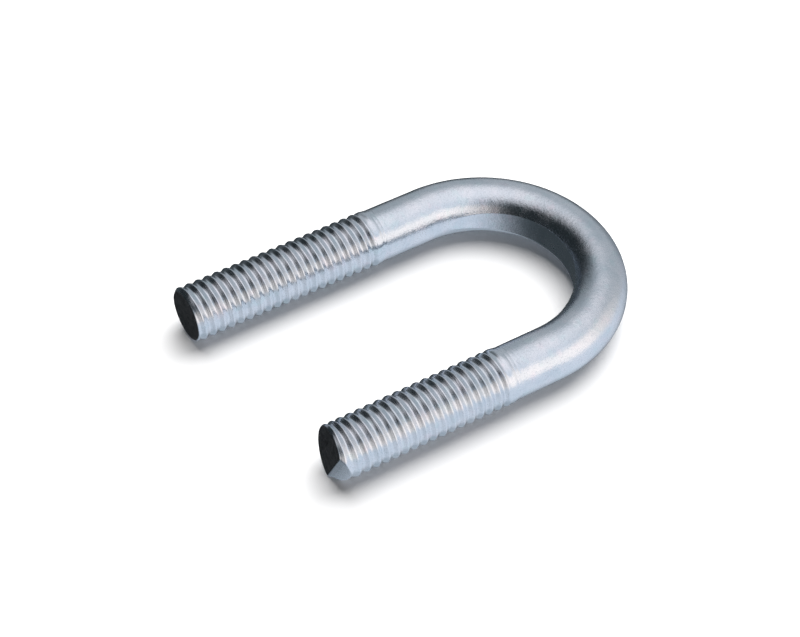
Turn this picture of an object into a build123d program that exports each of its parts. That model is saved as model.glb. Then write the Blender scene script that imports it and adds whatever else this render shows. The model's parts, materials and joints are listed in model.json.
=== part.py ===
from build123d import *
import math
import os

# U-bolt lying flat: +Z is the axis of the clamped pipe, the legs point along -Y and
# the origin is on the pipe's axis, halfway up the bar.  Millimetres throughout.
# The bolt is built round the bend's centre and then moved onto the pipe's axis.

# Bar and bend
bar_diameter = 7.5           # plain middle of the bar
bend_radius = 15.65          # centre line of the bend
seat_width = 3.6             # flat band that the pipe-shaped former presses into the crown
short_leg = 33.5             # from the bend's centre to the end face of the leg at +X
long_leg = 37.3              # the same for the leg at -X

# Rolled thread, 5/16-18 UNC, right hand
thread_pitch = 25.4 / 18
short_thread = 26.8          # on the short leg, from the end face to where the shank begins
long_thread = 29.6           # the same on the long leg
crest_rise = 0.175           # rolling lifts the crests this far above the bar's surface
groove_depth = 0.40 * thread_pitch
groove_mouth = 0.66 * thread_pitch       # width of the groove at the crests
groove_root = 0.20 * thread_pitch        # width of the groove at the bottom
runout_turns = 1.25          # over which the groove rises out of the bar
runout_gap = 0.9             # from the groove's end to the shank
shoulder_length = 0.5        # cone between the shank and the crests
end_chamfer = 0.45

# Sizes that follow from the ones above
bar_radius = bar_diameter / 2
major_radius = bar_radius + crest_rise
seat_radius = bend_radius - bar_radius       # the pipe just fills the gap between the legs
seat_depth = bar_radius - math.sqrt(bar_radius**2 - (seat_width / 2) ** 2)
right_joint = short_thread - short_leg       # where the threads meet the shank, along Y
left_joint = long_thread - long_leg


def groove(height, rise=0):
    """A right-hand helical groove from z = 0 up, which may move outwards as it climbs."""
    slope = math.atan(rise / height)
    helix = Helix(
        pitch=thread_pitch / math.cos(slope),
        height=height,
        radius=major_radius,
        cone_angle=math.degrees(slope),
    )
    clearance = 0.12
    flank = (groove_mouth - groove_root) / 2 / groove_depth
    outer = groove_mouth / 2 + flank * clearance
    outline = Polyline(
        (-groove_depth, -groove_root / 2),
        (-groove_depth, groove_root / 2),
        (clearance, outer),
        (clearance, -outer),
        close=True,
    )
    start = helix @ 0
    plane = Plane(origin=start, x_dir=(start.X, start.Y, 0), z_dir=helix % 0)
    return sweep(plane * make_face(outline), path=helix, is_frenet=True)


def stud_envelope(length):
    """What the thread is cut off to: a cone at the shank and a chamfer at the end face."""
    reach = 3 * thread_pitch
    shoulder_slope = shoulder_length / (major_radius - bar_radius)
    face_radius = major_radius - end_chamfer
    outline = Polyline(
        (0, 0),
        (bar_radius, 0),
        (bar_radius + reach / shoulder_slope, reach),
        (face_radius + reach, length - reach),
        (face_radius, length),
        (0, length),
        close=True,
    )
    return revolve(Plane.XZ * make_face(outline), axis=Axis.Z)


def stud(length):
    """A threaded end along +Z: the shank joins at z = 0 and the end face is on top.

    The blank is longer than the stud and the groove ends inside it on a whole turn;
    both are then cut off to the stud's length.
    """
    runout_height = runout_turns * thread_pitch
    groove_start = runout_gap + runout_height
    turns = math.ceil((length - groove_start) / thread_pitch) + 1
    blank_length = length + 4 * thread_pitch
    blank = Pos(0, 0, blank_length / 2 - thread_pitch) * Cylinder(major_radius, blank_length)
    full_groove = groove(turns * thread_pitch)
    runout = Rot(X=180) * groove(runout_height, rise=groove_depth + 0.05)
    threaded = blank - Pos(0, 0, groove_start) * full_groove
    threaded -= Pos(0, 0, groove_start) * runout
    return threaded & stud_envelope(length)


def shank():
    """The plain bar between the threads: straight, half a turn round the pipe, straight."""
    right = Line((bend_radius, right_joint), (bend_radius, 0))
    bend = CenterArc((0, 0), bend_radius, 0, 180)
    left = Line((-bend_radius, 0), (-bend_radius, left_joint))
    section = Plane(origin=right @ 0, z_dir=right % 0) * Circle(bar_radius)
    return sweep(section, path=Wire([right, bend, left]))


def u_bolt():
    """The whole bolt, one bar."""
    right = Pos(bend_radius, right_joint, 0) * Rot(X=90) * stud(short_thread)
    left = Pos(-bend_radius, left_joint, 0) * Rot(X=90) * stud(long_thread)
    seat = Pos(0, seat_depth, 0) * Cylinder(seat_radius, 2 * bar_diameter)
    bolt = shank() + right + left - seat
    return Pos(0, -seat_depth, 0) * bolt


os.makedirs("parts", exist_ok=True)
export_step(u_bolt(), "parts/u_bolt.step")
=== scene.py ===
import json
import math

import bpy
import numpy as np
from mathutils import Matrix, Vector, noise


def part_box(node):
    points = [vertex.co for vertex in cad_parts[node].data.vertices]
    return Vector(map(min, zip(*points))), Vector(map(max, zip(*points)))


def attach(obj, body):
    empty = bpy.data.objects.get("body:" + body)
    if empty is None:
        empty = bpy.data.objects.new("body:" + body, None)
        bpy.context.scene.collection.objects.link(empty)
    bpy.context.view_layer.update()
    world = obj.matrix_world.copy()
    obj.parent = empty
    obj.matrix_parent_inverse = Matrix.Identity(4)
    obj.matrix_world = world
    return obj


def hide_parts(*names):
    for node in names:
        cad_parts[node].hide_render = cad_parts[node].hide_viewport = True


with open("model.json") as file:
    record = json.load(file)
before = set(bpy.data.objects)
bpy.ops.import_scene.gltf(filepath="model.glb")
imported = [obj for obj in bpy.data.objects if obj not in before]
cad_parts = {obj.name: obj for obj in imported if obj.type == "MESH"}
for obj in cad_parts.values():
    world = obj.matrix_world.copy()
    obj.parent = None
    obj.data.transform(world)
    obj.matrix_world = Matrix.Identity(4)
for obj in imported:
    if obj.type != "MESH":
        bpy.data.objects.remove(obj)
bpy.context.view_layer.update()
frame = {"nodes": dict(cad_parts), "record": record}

MM = 0.001

# ---------------------------------------------------------------- sizes, from the frame
mounts = {mount["name"]: mount["dims"] for mount in frame["record"]["mounts"]}
low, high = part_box("u_bolt")
corners = np.array([v.co for v in frame["nodes"]["u_bolt"].data.vertices])
bend_radius = mounts["legs"]["spacing_x_mm"] * MM / 2
major_radius = mounts["legs"]["stud_r_mm"] * MM
seat_radius = mounts["pipe_seat"]["r_mm"] * MM
bar_radius = bend_radius - seat_radius
seat_depth = bend_radius + bar_radius - high.y    # the bend's centre is this far below y = 0
long_leg = -low.y - seat_depth
short_leg = -corners[corners[:, 0] > 0, 1].min() - seat_depth
bend_length = math.pi * bend_radius
bar_length = short_leg + bend_length + long_leg
floor_height = -major_radius

# Thread: right hand, with the pitch of 5/16-18 UNC. The groove's form was chosen by trial.
pitch = 25.4 * MM / 18
groove_depth = 0.32 * MM
groove_half = 0.49           # half the groove's width at the crests, in pitches
root_rounding = 0.02         # square of the share of groove_half over which the root is round
root_height = 0.141          # the rounded flank's height at the root, before it is scaled
flank_rise = 0.869           # its rise from the root to the crest, before it is scaled
crest_rounding = 0.08        # how softly the flank meets the crest, as a share of the depth
short_thread = 26.8 * MM     # from the end face to the shank
long_thread = 29.6 * MM
runout = 2.7 * MM            # the last of the thread, where the groove rises
thread_margin = 2 * MM       # how far past the thread its radius is still worked out
long_chamfer = 0.42 * MM
short_chamfer = 0.10 * MM    # sheared, with hardly any chamfer
short_phase = 0.92           # where the groove meets each end face, in turns
long_phase = 0.27

# Faint rings round the shank where the thread ends: how far past the end, and how deep
ring_marks = ((-0.55 * MM, 0.020 * MM), (0.00 * MM, 0.022 * MM), (0.70 * MM, 0.010 * MM))
ring_mark_width = 0.10 * MM

# The shear that cropped the short leg left a lens-shaped facet and a leaning face
facet_angle = math.radians(-27)
facet_reach = 1.57 * MM      # from the leg's axis to the facet, at the end face
facet_slope = 1.46           # how fast the facet spreads along the leg
facet_limit = 4 * MM         # the facet is looked for only this near the end face
face_lean = 0.10             # of the end face towards the bend, per unit of height
face_turn = 0.15             # of the end face away from the bend, per unit outward
lean_fade = 3 * MM           # the lean dies out over this length of leg

# The seat pressed into the inside of the bend, with a fine lip beside it
seat_blend = 0.02 * MM
lip_place = 0.03 * MM        # from the seat's surface to the middle of the lip
lip_width = 0.045 * MM
lip_height = 0.022 * MM

# Unevenness of the skin
plain_dent = 0.012 * MM
thread_dent = 0.018 * MM
face_sink = 0.05 * MM        # how far the end faces sink inside their rims

around = 200                 # points round the bar, closer together inside the bend
per_pitch = 18               # rows of points in one pitch
plain_rows = 282             # rows of points between the threads
row_margin = 1.2 * MM        # how far the close rows go past each thread


# ---------------------------------------------------------------- small maths helpers
def smooth(x, start, end):
    """0 before start, 1 after end, and a smooth rise between them."""
    t = np.clip((x - start) / (end - start), 0, 1)
    return t * t * (3 - 2 * t)


def soft_min(a, b, blend):
    """The smaller of a and b, with the corner between them rounded."""
    h = np.clip(0.5 + 0.5 * (b - a) / blend, 0, 1)
    return b * (1 - h) + a * h - blend * h * (1 - h)


def soft_max(a, b, blend):
    """The larger of a and b, with the corner between them rounded."""
    return -soft_min(-a, -b, blend)


# ---------------------------------------------------------------- shape of the bar
def thread_radius(from_end, theta, turn_sign, phase, length, chamfer_depth):
    """Radius of a threaded end at a distance from its end face and an angle round it."""
    along_helix = from_end / pitch + turn_sign * theta / (2 * math.pi) + phase
    from_root = np.abs((along_helix + 0.5) % 1.0 - 0.5) / groove_half
    flank = (np.sqrt(from_root**2 + root_rounding) - root_height) / flank_rise
    groove = soft_max(1 - flank, 0.0, crest_rounding)
    fade = 1 - smooth(from_end, length - runout, length - 0.3 * runout)
    crest = 1 - smooth(from_end, length - 1.1 * pitch, length)
    radius = bar_radius + (major_radius - bar_radius) * crest - groove_depth * groove * fade
    for past_end, depth in ring_marks:
        distance = (from_end - length - past_end) / ring_mark_width
        radius = radius - depth * np.exp(-distance * distance)
    chamfer = major_radius - chamfer_depth + from_end
    return soft_min(radius, chamfer, 0.4 * chamfer_depth)


def bar_rows():
    """Distances along the bar of the rows of points: close on the threads, wider between."""
    step = pitch / per_pitch
    short_rows = np.arange(0, short_thread + row_margin, step)
    long_rows = bar_length - np.arange(0, long_thread + row_margin, step)[::-1]
    plain = np.linspace(short_rows[-1], long_rows[0], plain_rows)[1:-1]
    return np.concatenate([short_rows, plain, long_rows])


def bar_angles():
    """Angles round the bar; 0 faces away from the pipe and half a turn faces it."""
    even = np.arange(around) / around * 2 * math.pi
    return even + 0.5 * np.sin(even)


def press_seat(x, y, z, s):
    """Flatten the inside of the bend onto the pipe, with a fine lip beside the flat."""
    across_pipe = y - seat_depth
    from_pipe = np.hypot(x, across_pipe)
    in_bend = smooth(s, short_leg - 1 * MM, short_leg + 1 * MM)
    in_bend *= 1 - smooth(s, short_leg + bend_length - 1 * MM, short_leg + bend_length + 1 * MM)
    pressed = soft_max(from_pipe, seat_radius, seat_blend)
    beside = (from_pipe - seat_radius - lip_place) / lip_width
    pressed = pressed - lip_height * np.exp(-beside * beside)
    towards_crown = smooth(y, 0.1 * seat_radius, 0.5 * seat_radius)
    target = from_pipe + (pressed - from_pipe) * in_bend * towards_crown
    inner = np.hypot(x, y) < bend_radius
    scale = np.where(inner, target / from_pipe, 1.0)
    return x * scale, seat_depth + across_pipe * scale


def bar_points(rows, theta):
    """Points of the bar's skin, with the bend's centre at the origin."""
    s, angle = np.meshgrid(rows, theta, indexing="ij")
    radius = np.full_like(s, bar_radius)
    near = s < short_thread + thread_margin
    far = bar_length - s < long_thread + thread_margin
    radius[near] = thread_radius(
        s[near], angle[near], 1, short_phase, short_thread, short_chamfer
    )
    radius[far] = thread_radius(
        bar_length - s[far], angle[far], -1, long_phase, long_thread, long_chamfer
    )
    across, up = radius * np.cos(angle), radius * np.sin(angle)

    reach = across * math.cos(facet_angle) + up * math.sin(facet_angle)
    over = np.maximum(reach - facet_reach - facet_slope * s, 0) * (s < facet_limit)
    across -= over * math.cos(facet_angle)
    up -= over * math.sin(facet_angle)

    turn = np.clip((s - short_leg) / bend_radius, 0, math.pi)
    x = (bend_radius + across) * np.cos(turn)
    y = (bend_radius + across) * np.sin(turn)
    lean = (face_lean * up - face_turn * across) * (1 - smooth(s, 0, lean_fade))
    y = np.where(s < short_leg, s - short_leg + lean, y)
    y = np.where(s > short_leg + bend_length, short_leg + bend_length - s, y)
    x, y = press_seat(x, y, up, s)
    return s, angle, radius, x, y, up


def end_rings(x, y, z, inward, seed):
    """Rings of points from the rim of an end face to its middle, a little uneven."""
    centre = Vector((x.mean(), y.mean(), z.mean()))
    rings = []
    for share in (0.985, 0.95, 0.88, 0.76, 0.62, 0.46, 0.30, 0.15):
        px = centre.x + (x - centre.x) * share
        pz = centre.z + (z - centre.z) * share
        lift = np.array([
            noise.noise(Vector((a / MM * 0.55, b / MM * 0.55, seed))) for a, b in zip(px, pz)
        ])
        sunk = face_sink * smooth(1 - share, 0.0, 0.12)
        rings.append((px, y + inward * (sunk + face_sink * lift * (1 - share)), pz))
    return rings, (centre.x, y.mean() + inward * face_sink, centre.z)


def build_bolt():
    """One closed mesh of the whole bolt, with the straightened bar's coordinates stored."""
    rows = bar_rows()
    s, angle, radius, x, y, z = bar_points(rows, bar_angles())

    # the bar is never quite smooth: shallow dents, deeper along the threads
    flat = np.stack([radius * np.cos(angle), radius * np.sin(angle), s], axis=-1) / MM
    dents = np.array([noise.noise(Vector(p) * 0.9) for p in flat.reshape(-1, 3)]).reshape(s.shape)
    threaded = np.maximum(
        1 - smooth(s, short_thread - pitch, short_thread + 0.4 * MM),
        smooth(s, bar_length - long_thread - 0.4 * MM, bar_length - long_thread + pitch),
    )
    dent_depth = plain_dent * (1 - threaded) + thread_dent * threaded
    shrink = 1 - np.maximum(dents, -0.2) * dent_depth / radius
    turn = np.clip((s - short_leg) / bend_radius, 0, math.pi)
    centre_x, centre_y = bend_radius * np.cos(turn), bend_radius * np.sin(turn)
    straight = (s < short_leg) | (s > short_leg + bend_length)
    x = centre_x + (x - centre_x) * shrink
    y = np.where(straight, y, centre_y + (y - centre_y) * shrink) - seat_depth
    z = z * shrink

    points = [np.stack([x, y, z], axis=-1).reshape(-1, 3)]
    coords = [flat.reshape(-1, 3)]
    zones = [np.repeat(threaded[:, :1], around, axis=1).reshape(-1)]
    faces, face_slot = [], []
    count = len(rows)
    ring = np.arange(around)
    following = (ring + 1) % around
    for row in range(count - 1):
        a, b = row * around, (row + 1) * around
        faces.extend(zip(a + ring, b + ring, b + following, a + following))
        face_slot.extend([0] * around)

    total = count * around
    for row, inward, seed in ((0, 1, 3.0), (count - 1, -1, 11.0)):
        start = row * around
        depth = 0.0 if row == 0 else bar_length
        rings, middle = end_rings(x[row], y[row], z[row], inward, seed)
        previous = start
        for px, py, pz in rings:
            points.append(np.stack([px, py, pz], axis=-1))
            coords.append(np.stack([px, pz, np.full(around, depth)], axis=-1) / MM)
            zones.append(np.full(around, 1.0))
            a, b = previous, total
            quads = zip(a + ring, b + ring, b + following, a + following)
            if inward > 0:
                quads = [tuple(reversed(q)) for q in quads]
            faces.extend(quads)
            face_slot.extend([1] * around)
            previous = total
            total += around
        points.append(np.array([middle]))
        coords.append(np.array([[middle[0], middle[2], depth]]) / MM)
        zones.append(np.array([1.0]))
        tips = zip(previous + ring, [total] * around, previous + following)
        if inward > 0:
            tips = [tuple(reversed(t)) for t in tips]
        faces.extend(tips)
        face_slot.extend([1] * around)
        total += 1

    mesh = bpy.data.meshes.new("u_bolt_bar")
    mesh.from_pydata(np.concatenate(points).tolist(), [], [tuple(map(int, f)) for f in faces])
    mesh.polygons.foreach_set("material_index", face_slot)
    mesh.polygons.foreach_set("use_smooth", [True] * len(faces))
    bar = mesh.attributes.new("bar", "FLOAT_VECTOR", "POINT")
    bar.data.foreach_set("vector", np.concatenate(coords).astype(np.float32).ravel())
    zone = mesh.attributes.new("threaded", "FLOAT", "POINT")
    zone.data.foreach_set("value", np.concatenate(zones).astype(np.float32))
    mesh.update()
    bolt = bpy.data.objects.new("u_bolt_bar", mesh)
    bpy.context.collection.objects.link(bolt)
    return bolt


# ---------------------------------------------------------------- materials
class Nodes:
    """Shorthand for building one material's or world's node tree."""

    def __init__(self, tree):
        self.tree = tree
        tree.nodes.clear()

    def add(self, kind, inputs=None, **settings):
        node = self.tree.nodes.new(kind)
        for key, value in settings.items():
            setattr(node, key, value)
        for key, value in (inputs or {}).items():
            self.put(node.inputs[key], value)
        return node

    def put(self, socket, value):
        if isinstance(value, bpy.types.NodeSocket):
            self.tree.links.new(value, socket)
        else:
            socket.default_value = value

    def maths(self, operation, a, b=0.0):
        return self.add("ShaderNodeMath", {0: a, 1: b}, operation=operation).outputs[0]

    def vector(self, operation, a, b):
        return self.add("ShaderNodeVectorMath", {0: a, 1: b}, operation=operation).outputs[0]

    def noise(self, vector, scale, detail=3.0, roughness=0.5):
        inputs = {"Vector": vector, "Scale": scale, "Detail": detail, "Roughness": roughness}
        return self.add("ShaderNodeTexNoise", inputs).outputs["Fac"]

    def ramp(self, value, low, high, out_low=0.0, out_high=1.0):
        inputs = {0: value, 1: low, 2: high, 3: out_low, 4: out_high}
        return self.add("ShaderNodeMapRange", inputs, interpolation_type="SMOOTHSTEP").outputs[0]

    def mix(self, share, a, b):
        node = self.add("ShaderNodeMix", data_type="RGBA")
        self.put(node.inputs["Factor"], share)
        self.put(node.inputs["A"], a)
        self.put(node.inputs["B"], b)
        return node.outputs["Result"]


def zinc_material():
    """Bright blue-white zinc: orange-peel on the bend, drawn scratches on the threads."""
    material = bpy.data.materials.new("zinc_plating")
    material.use_nodes = True
    n = Nodes(material.node_tree)
    bar = n.add("ShaderNodeAttribute", attribute_name="bar").outputs["Vector"]
    threaded = n.add("ShaderNodeAttribute", attribute_name="threaded").outputs["Fac"]
    drawn = n.vector("MULTIPLY", bar, (0.35, 0.35, 5.0))

    cloud = n.noise(bar, 0.30, 4.0)
    tint = n.noise(n.vector("ADD", bar, (31.0, 7.0, 3.0)), 0.55, 2.0)
    speck = n.noise(bar, 5.0, 3.0, 0.7)
    streak = n.noise(drawn, 1.0, 4.0, 0.65)
    colour = n.mix(n.ramp(cloud, 0.35, 0.65), (0.64, 0.71, 0.79, 1), (0.74, 0.785, 0.86, 1))
    colour = n.mix(n.ramp(tint, 0.56, 0.74, 0, 0.35), colour, (0.80, 0.74, 0.83, 1))
    colour = n.mix(n.ramp(tint, 0.44, 0.28, 0, 0.35), colour, (0.60, 0.77, 0.82, 1))
    colour = n.mix(n.ramp(speck, 0.52, 0.74, 0, 0.45), colour, (0.36, 0.42, 0.49, 1))

    rough = n.ramp(cloud, 0.3, 0.7, 0.17, 0.27)
    rough = n.maths("ADD", rough, n.ramp(speck, 0.35, 0.75, -0.03, 0.08))
    peel = n.noise(bar, 2.6, 3.0, 0.6)
    colour = n.mix(n.ramp(peel, 0.50, 0.68, 0, 0.22), colour, (0.46, 0.53, 0.62, 1))
    peel_height = n.maths("ADD", n.maths("MULTIPLY", peel, 0.6), n.maths("MULTIPLY", speck, 0.55))
    plain = n.maths("SUBTRACT", 1.0, threaded)
    height = n.maths("ADD", n.maths("MULTIPLY", peel_height, plain),
                     n.maths("MULTIPLY", streak, n.maths("MULTIPLY", threaded, 0.6)))
    bump = n.add("ShaderNodeBump", {"Strength": 0.62, "Distance": 0.00006, "Height": height})
    shader = n.add("ShaderNodeBsdfPrincipled", {
        "Base Color": colour, "Metallic": 1.0, "Roughness": rough, "Normal": bump.outputs[0],
    })
    output = n.add("ShaderNodeOutputMaterial")
    n.put(output.inputs["Surface"], shader.outputs[0])
    return material


def end_material():
    """The end faces: bare cut steel, dull and darker than the zinc, with little shine; the
    near-black of their colour is painted dark reflection.
    """
    material = bpy.data.materials.new("sheared_end")
    material.use_nodes = True
    n = Nodes(material.node_tree)
    bar = n.add("ShaderNodeAttribute", attribute_name="bar").outputs["Vector"]
    grain = n.noise(bar, 1.1, 4.0, 0.6)
    fine = n.noise(n.vector("MULTIPLY", bar, (9.0, 2.0, 1.0)), 1.0, 3.0, 0.6)
    # Painted dark reflection: the near-black of both shades stands in for the dark room that the
    # end faces mirror; the grain between the two shades is the cut's own.
    colour = n.mix(n.ramp(grain, 0.35, 0.70), (0.055, 0.058, 0.064, 1), (0.11, 0.115, 0.125, 1))
    rough = n.ramp(fine, 0.3, 0.7, 0.42, 0.60)
    bump = n.add("ShaderNodeBump", {"Strength": 0.35, "Distance": 0.00008, "Height": fine})
    shader = n.add("ShaderNodeBsdfPrincipled", {
        "Base Color": colour, "Metallic": 0.75, "Roughness": rough, "Normal": bump.outputs[0],
    })
    output = n.add("ShaderNodeOutputMaterial")
    n.put(output.inputs["Surface"], shader.outputs[0])
    return material


def floor_material():
    """Matt white table top."""
    material = bpy.data.materials.new("white_table")
    material.use_nodes = True
    n = Nodes(material.node_tree)
    place = n.add("ShaderNodeTexCoord").outputs["Object"]
    shade = n.ramp(n.noise(place, 3.0), 0.3, 0.7, 0.0, 1.0)
    colour = n.mix(shade, (0.90, 0.90, 0.905, 1), (0.91, 0.91, 0.915, 1))
    shader = n.add("ShaderNodeBsdfPrincipled", {"Base Color": colour, "Roughness": 0.9})
    shader.inputs["Specular IOR Level"].default_value = 0.0
    output = n.add("ShaderNodeOutputMaterial")
    n.put(output.inputs["Surface"], shader.outputs[0])
    return material


# ---------------------------------------------------------------- studio
def direction(azimuth, elevation):
    """Unit vector from the object towards a viewer; azimuth 0 is -Y and 90 is +X."""
    a, e = math.radians(azimuth), math.radians(elevation)
    return Vector((math.sin(a) * math.cos(e), -math.cos(a) * math.cos(e), math.sin(e)))


def add_camera():
    """A long lens from the front right, looking down at 46 degrees."""
    aim = Vector((-0.16, -13.75, 0.0)) * MM
    data = bpy.data.cameras.new("camera")
    data.sensor_width = 36.0
    data.lens = 98.97
    data.clip_start = 0.01
    camera = bpy.data.objects.new("camera", data)
    bpy.context.collection.objects.link(camera)
    towards = direction(58.18, 45.59)
    camera.location = aim + towards * 293.1 * MM
    camera.rotation_euler = towards.to_track_quat("Z", "Y").to_euler()
    bpy.context.scene.camera = camera


def add_table_light():
    """A wide soft light that lights the table and that the metal doesn't mirror."""
    data = bpy.data.lights.new("table_light", "AREA")
    data.shape = "DISK"
    data.size = 1.4
    data.energy = 25.0
    lamp = bpy.data.objects.new("table_light", data)
    bpy.context.collection.objects.link(lamp)
    lamp.location = (-0.32, 0.42, 0.85)
    lamp.rotation_euler = lamp.location.to_track_quat("Z", "Y").to_euler()
    lamp.visible_glossy = False
    lamp.visible_camera = False


def add_room():
    """What the metal mirrors: softboxes above and at the right, dark at the front left.

    Below the horizon it mirrors a pale table instead, brighter at the right. The table
    itself is lit by a dim fill, and the camera sees plain white behind everything.
    """
    world = bpy.data.worlds.new("room")
    world.use_nodes = True
    bpy.context.scene.world = world
    n = Nodes(world.node_tree)
    ray = n.add("ShaderNodeTexCoord").outputs["Generated"]
    level = n.vector("NORMALIZE", n.vector("MULTIPLY", ray, (1.0, 1.0, 0.0)), (0.0, 0.0, 0.0))

    def towards(vector, x, y, z):
        node = n.add("ShaderNodeVectorMath", {0: vector, 1: (x, y, z)}, operation="DOT_PRODUCT")
        return node.outputs["Value"]

    above = n.ramp(towards(ray, 0.0, 0.0, 1.0), -0.20, 0.05)
    bright_side = n.ramp(towards(level, 0.87, 0.50, 0.0), -0.75, 0.90)
    bright_side = n.maths("POWER", bright_side, 1.6)
    straight_down = n.ramp(towards(ray, 0.0, 0.0, -1.0), 0.82, 0.99)
    grey_wall = n.ramp(towards(level, -0.50, 0.87, 0.0), 0.25, 0.95)
    side_box = n.ramp(towards(level, 0.94, 0.34, 0.0), 0.18, 1.08)
    side_colour = n.mix(n.ramp(towards(ray, 0.0, 0.0, 1.0), 0.50, 0.68),
                        (1.42, 1.29, 1.21, 1), (0.80, 0.86, 0.93, 1))
    top_box = n.ramp(towards(ray, 0.0, 0.13, 1.0), 0.64, 1.02)
    colour = n.mix(grey_wall, (0.020, 0.025, 0.027, 1), (0.46, 0.49, 0.51, 1))
    colour = n.mix(side_box, colour, side_colour)
    colour = n.mix(top_box, colour, (1.08, 1.04, 1.05, 1))
    table = n.mix(bright_side, (0.05, 0.06, 0.065, 1), (0.80, 0.85, 0.92, 1))
    table = n.mix(straight_down, table, (0.46, 0.51, 0.56, 1))
    colour = n.mix(above, table, colour)
    path = n.add("ShaderNodeLightPath")
    fill = n.ramp(towards(ray, 0.94, 0.34, 0.0), 0.2, 1.0, 0.08, 0.55)
    colour = n.mix(path.outputs["Is Diffuse Ray"], colour, fill)
    colour = n.mix(path.outputs["Is Camera Ray"], colour, (1.0, 1.0, 1.0, 1))
    background = n.add("ShaderNodeBackground", {"Color": colour, "Strength": 1.0})
    output = n.add("ShaderNodeOutputWorld")
    n.put(output.inputs["Surface"], background.outputs[0])


def add_floor():
    """The white table, 2 m across, which the metal doesn't mirror."""
    half = 1.0
    square = [(-half, -half), (half, -half), (half, half), (-half, half)]
    mesh = bpy.data.meshes.new("table")
    mesh.from_pydata([(a, b, floor_height) for a, b in square], [], [(0, 1, 2, 3)])
    table = bpy.data.objects.new("table", mesh)
    bpy.context.collection.objects.link(table)
    table.data.materials.append(floor_material())
    table.visible_glossy = False


add_camera()
bolt = build_bolt()
bolt.data.materials.append(zinc_material())
bolt.data.materials.append(end_material())
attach(bolt, "root")
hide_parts("u_bolt")
add_floor()
add_table_light()
add_room()
bpy.context.scene.view_settings.view_transform = "Standard"
